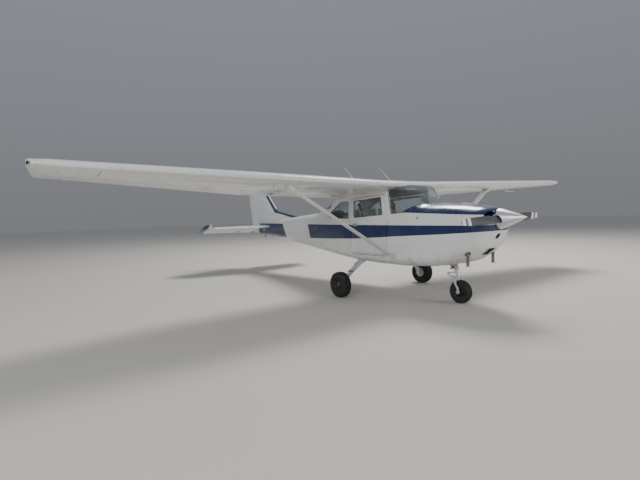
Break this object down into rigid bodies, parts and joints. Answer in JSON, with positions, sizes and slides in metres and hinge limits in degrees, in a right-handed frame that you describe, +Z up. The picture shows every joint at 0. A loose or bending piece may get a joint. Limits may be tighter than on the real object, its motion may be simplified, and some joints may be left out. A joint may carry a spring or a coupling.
{
  "type": "single-engine light aircraft",
  "caption": "High-wing light aircraft with braced wings, tricycle gear, hollow four-seat cabin, turning propeller and wheels, steered nose wheel, opening doors and moving control surfaces.",
  "frame": {"origin": "on the ground, under the middle of the whole aircraft's length and span", "axes": "+X to the aircraft's left wing tip, -Y to the nose, +Z up from the ground it is parked on"},
  "size_m": [10.96, 8.2842, 2.606],
  "materials": {
    "white_paint": "gloss white paint on light alloy",
    "blue_paint": "gloss dark blue paint on light alloy",
    "gear_steel": "pale grey painted steel",
    "wheel_metal": "painted cast light alloy",
    "tyre_rubber": "black rubber",
    "propeller_grey": "satin dark grey with white tip stripes",
    "polished_metal": "polished spun metal",
    "glazing": "clear acrylic",
    "engine_metal": "plain block",
    "exhaust_steel": "heat-stained steel",
    "cabin_trim": "grey trim",
    "panel_dark": "matt black panel",
    "seat_cloth": "pale grey upholstery"
  },
  "bodies": {
    "airframe": {"cabin_shell": "white_paint", "cabin_floor": "cabin_trim", "instrument_panel": "panel_dark", "seat_pilot": "seat_cloth", "seat_copilot": "seat_cloth", "rear_seat": "seat_cloth", "windshield": "glazing", "rear_window": "glazing", "quarter_window_left": "glazing", "quarter_window_right": "glazing", "roof_center_section": "white_paint", "wing_left": "white_paint", "wing_right": "white_paint", "wing_strut_left": "white_paint", "wing_strut_right": "white_paint", "cowl_nose_bowl": "white_paint", "cowl_top": "blue_paint", "cowl_bottom": "white_paint", "engine_block": "engine_metal", "exhaust_stacks": "exhaust_steel", "tail_cone": "white_paint", "stabilizer": "white_paint", "fin": "white_paint", "gear_leg_left": "gear_steel", "gear_leg_right": "gear_steel", "nose_strut_housing": "gear_steel"},
    "propeller": {"propeller": "propeller_grey", "spinner": "polished_metal"},
    "nose_fork": {"nose_fork": "gear_steel"},
    "nose_wheel": {"nose_tyre": "tyre_rubber", "nose_wheel": "wheel_metal"},
    "main_wheel_left": {"main_tyre_left": "tyre_rubber", "main_wheel_left": "wheel_metal"},
    "main_wheel_right": {"main_tyre_right": "tyre_rubber", "main_wheel_right": "wheel_metal"},
    "door_left": {"door_left": "white_paint", "door_window_left": "glazing"},
    "door_right": {"door_right": "white_paint", "door_window_right": "glazing"},
    "baggage_door": {"baggage_door": "white_paint"},
    "flap_left": {"flap_left": "white_paint"},
    "flap_right": {"flap_right": "white_paint"},
    "aileron_left": {"aileron_left": "white_paint"},
    "aileron_right": {"aileron_right": "white_paint"},
    "elevator": {"elevator": "white_paint"},
    "trim_tab": {"trim_tab": "white_paint"},
    "rudder": {"rudder": "white_paint"}
  },
  "joints": [
    {"name": "propeller_spin", "type": "hinge", "parent": "airframe", "child": "propeller", "pos_m": [0, -3.791, 1.31661], "axis": [0, -0.9981, 0.061], "continuous": true},
    {"name": "nose_steer", "type": "hinge", "parent": "airframe", "child": "nose_fork", "pos_m": [0, -3.0248, 0.45], "axis": [0, 0.2419, 0.9703], "range_deg": [-30, 30]},
    {"name": "nose_wheel_spin", "type": "hinge", "parent": "nose_fork", "child": "nose_wheel", "pos_m": [0, -3.08, 0.17943], "axis": [1, 0, 0], "continuous": true},
    {"name": "main_wheel_left_spin", "type": "hinge", "parent": "airframe", "child": "main_wheel_left", "pos_m": [1.061, -1.398, 0.22118], "axis": [1, 0, 0], "continuous": true},
    {"name": "main_wheel_right_spin", "type": "hinge", "parent": "airframe", "child": "main_wheel_right", "pos_m": [-1.061, -1.398, 0.22118], "axis": [1, 0, 0], "continuous": true},
    {"name": "door_left_swing", "type": "hinge", "parent": "airframe", "child": "door_left", "pos_m": [0.5523, -2.014, 0.85], "axis": [0.0322, 0, -0.9995], "range_deg": [0, 75]},
    {"name": "door_right_swing", "type": "hinge", "parent": "airframe", "child": "door_right", "pos_m": [-0.5523, -2.014, 0.85], "axis": [0.0322, 0, 0.9995], "range_deg": [0, 75]},
    {"name": "baggage_door_swing", "type": "hinge", "parent": "airframe", "child": "baggage_door", "pos_m": [0.5359, -0.754, 0.9], "axis": [0.0382, 0, -0.9993], "range_deg": [0, 100]},
    {"name": "flap_left_drop", "type": "hinge", "parent": "airframe", "child": "flap_left", "pos_m": [0.59, -0.94337, 1.65845], "axis": [-0.9996, 0, -0.028], "range_deg": [0, 40]},
    {"name": "flap_right_drop", "type": "hinge", "parent": "airframe", "child": "flap_right", "pos_m": [-0.59, -0.94337, 1.65845], "axis": [-0.9996, 0, 0.028], "range_deg": [0, 40]},
    {"name": "aileron_left_swing", "type": "hinge", "parent": "airframe", "child": "aileron_left", "pos_m": [2.59, -0.94577, 1.86184], "axis": [0.9941, -0.0933, 0.056], "range_deg": [-15, 20]},
    {"name": "aileron_right_swing", "type": "hinge", "parent": "airframe", "child": "aileron_right", "pos_m": [-2.59, -0.94577, 1.86184], "axis": [0.9941, 0.0933, -0.056], "range_deg": [-20, 15]},
    {"name": "elevator_swing", "type": "hinge", "parent": "airframe", "child": "elevator", "pos_m": [0, 3.304, 1.15], "axis": [1, 0, 0], "range_deg": [0, 51]},
    {"name": "trim_tab_swing", "type": "hinge", "parent": "elevator", "child": "trim_tab", "pos_m": [-1.18, 3.51126, 1.06202], "axis": [0.9974, 0.066, -0.028], "range_deg": [-13, 28]},
    {"name": "rudder_swing", "type": "hinge", "parent": "airframe", "child": "rudder", "pos_m": [0, 3.449, 1.15], "axis": [0, 0.2042, 0.9789], "range_deg": [-17, 17]}
  ],
  "couplings": [
    {"joint": "flap_right_drop", "follows": "flap_left_drop", "ratio": 1},
    {"joint": "aileron_right_swing", "follows": "aileron_left_swing", "ratio": -1}
  ]
}
